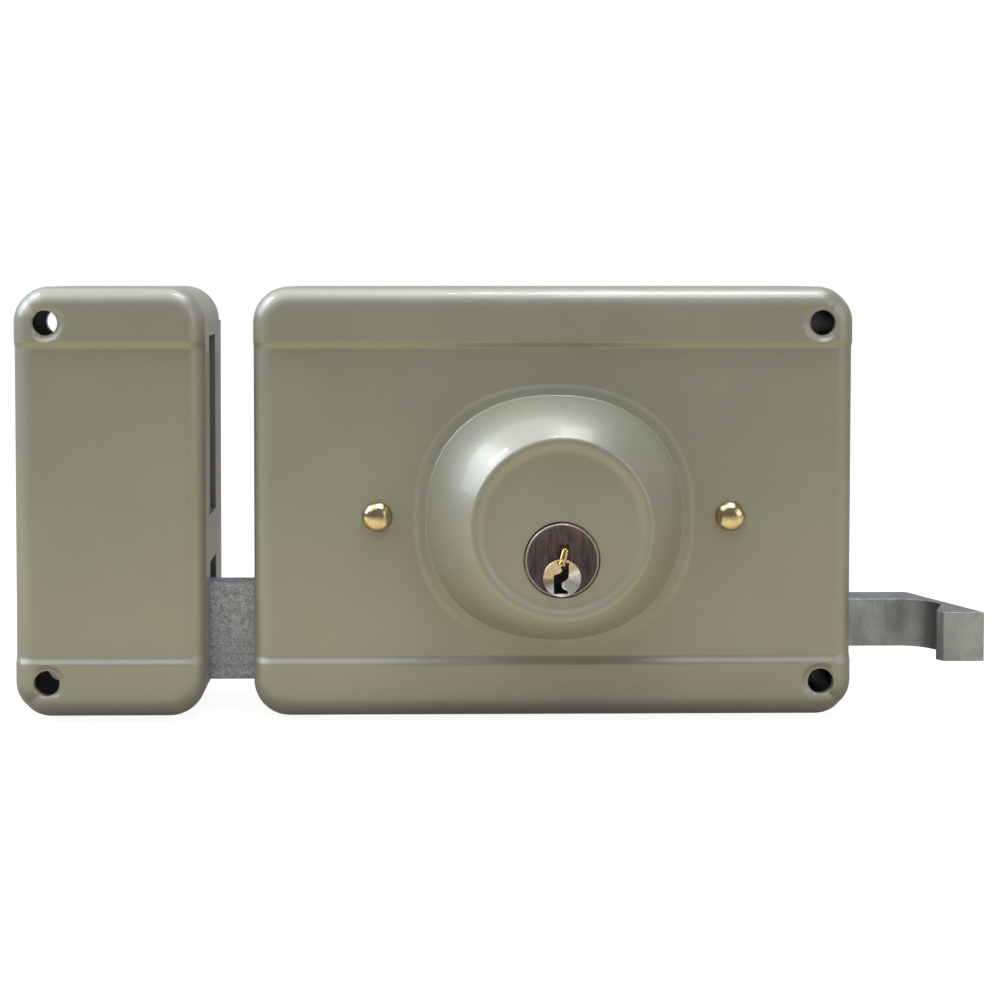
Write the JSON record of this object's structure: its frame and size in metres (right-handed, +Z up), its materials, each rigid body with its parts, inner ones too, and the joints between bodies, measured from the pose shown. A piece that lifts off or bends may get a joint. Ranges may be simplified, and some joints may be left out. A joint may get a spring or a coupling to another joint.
{
  "type": "armoured rim lock",
  "caption": "Surface-mounted armoured door lock with key-thrown deadbolt, sprung latch, pull hook, domed cylinder guard and matching strike box.",
  "frame": {"origin": "middle of the case's mounting face, which lies on the door", "axes": "+X to the hook side seen from the room, +Y into the door, +Z up"},
  "size_m": [0.2431, 0.0864, 0.1076],
  "materials": {
    "cover_enamel": "semi-gloss metallic olive-grey enamel on pressed steel",
    "zinc_steel": "dull zinc-plated steel sheet",
    "hardened_steel": "plain hardened steel",
    "sintered_steel": "grainy sintered steel",
    "hook_steel": "satin zinc-plated steel bar",
    "brass": "polished brass",
    "spring_steel": "drawn spring wire",
    "barrel_metal": "brushed dark cylinder body",
    "nickel": "turned nickel-plated brass"
  },
  "bodies": {
    "case": {"case_cover": "cover_enamel", "back_plate": "zinc_steel", "back_plate_screws": "zinc_steel", "cover_posts": "zinc_steel", "screw_sleeves": "zinc_steel", "armour_plate": "hardened_steel", "dome_screw_left": "brass", "dome_screw_right": "brass", "dome_screw_nuts": "zinc_steel", "bolt_guide_plate": "zinc_steel", "deadbolt_guide_pins": "hardened_steel", "latch_spring_stop": "zinc_steel", "latch_spring": "spring_steel", "cylinder_body": "barrel_metal", "notch_pin": "brass", "cylinder_screws": "zinc_steel", "pin_chamber_cap": "brass", "driver_pins": "brass", "pin_springs": "spring_steel", "strike_cover": "cover_enamel", "strike_plate": "zinc_steel", "strike_keeper": "zinc_steel", "strike_rivets": "zinc_steel"},
    "deadbolt": {"deadbolt": "hardened_steel", "deadbolt_tail": "hardened_steel", "deadbolt_rollers": "hardened_steel", "tail_rivets": "zinc_steel"},
    "latch": {"latch_bolt": "sintered_steel", "latch_carriage": "zinc_steel", "latch_rivets": "zinc_steel", "hook_rivets": "zinc_steel", "pull_hook": "hook_steel"},
    "plug": {"cylinder_plug": "nickel", "plug_retainer": "spring_steel", "key_pins": "brass", "drive_pinion": "hardened_steel"}
  },
  "joints": [
    {"name": "deadbolt_throw", "type": "slide", "parent": "case", "child": "deadbolt", "axis": [-1, 0, 0], "range_m": [0, 0.02513]},
    {"name": "key_turn", "type": "hinge", "parent": "case", "child": "plug", "pos_m": [0, -0.04, -0.0151], "axis": [0, -1, 0], "range_deg": [0, 360]},
    {"name": "latch_pull", "type": "slide", "parent": "case", "child": "latch", "axis": [1, 0, 0], "range_m": [0, 0.0195], "stiffness_N_per_m": 150, "springref_m": -0.02, "deforming": ["latch_spring"]}
  ],
  "couplings": [
    {"joint": "key_turn", "follows": "deadbolt_throw", "rad_per_m": 250}
  ]
}
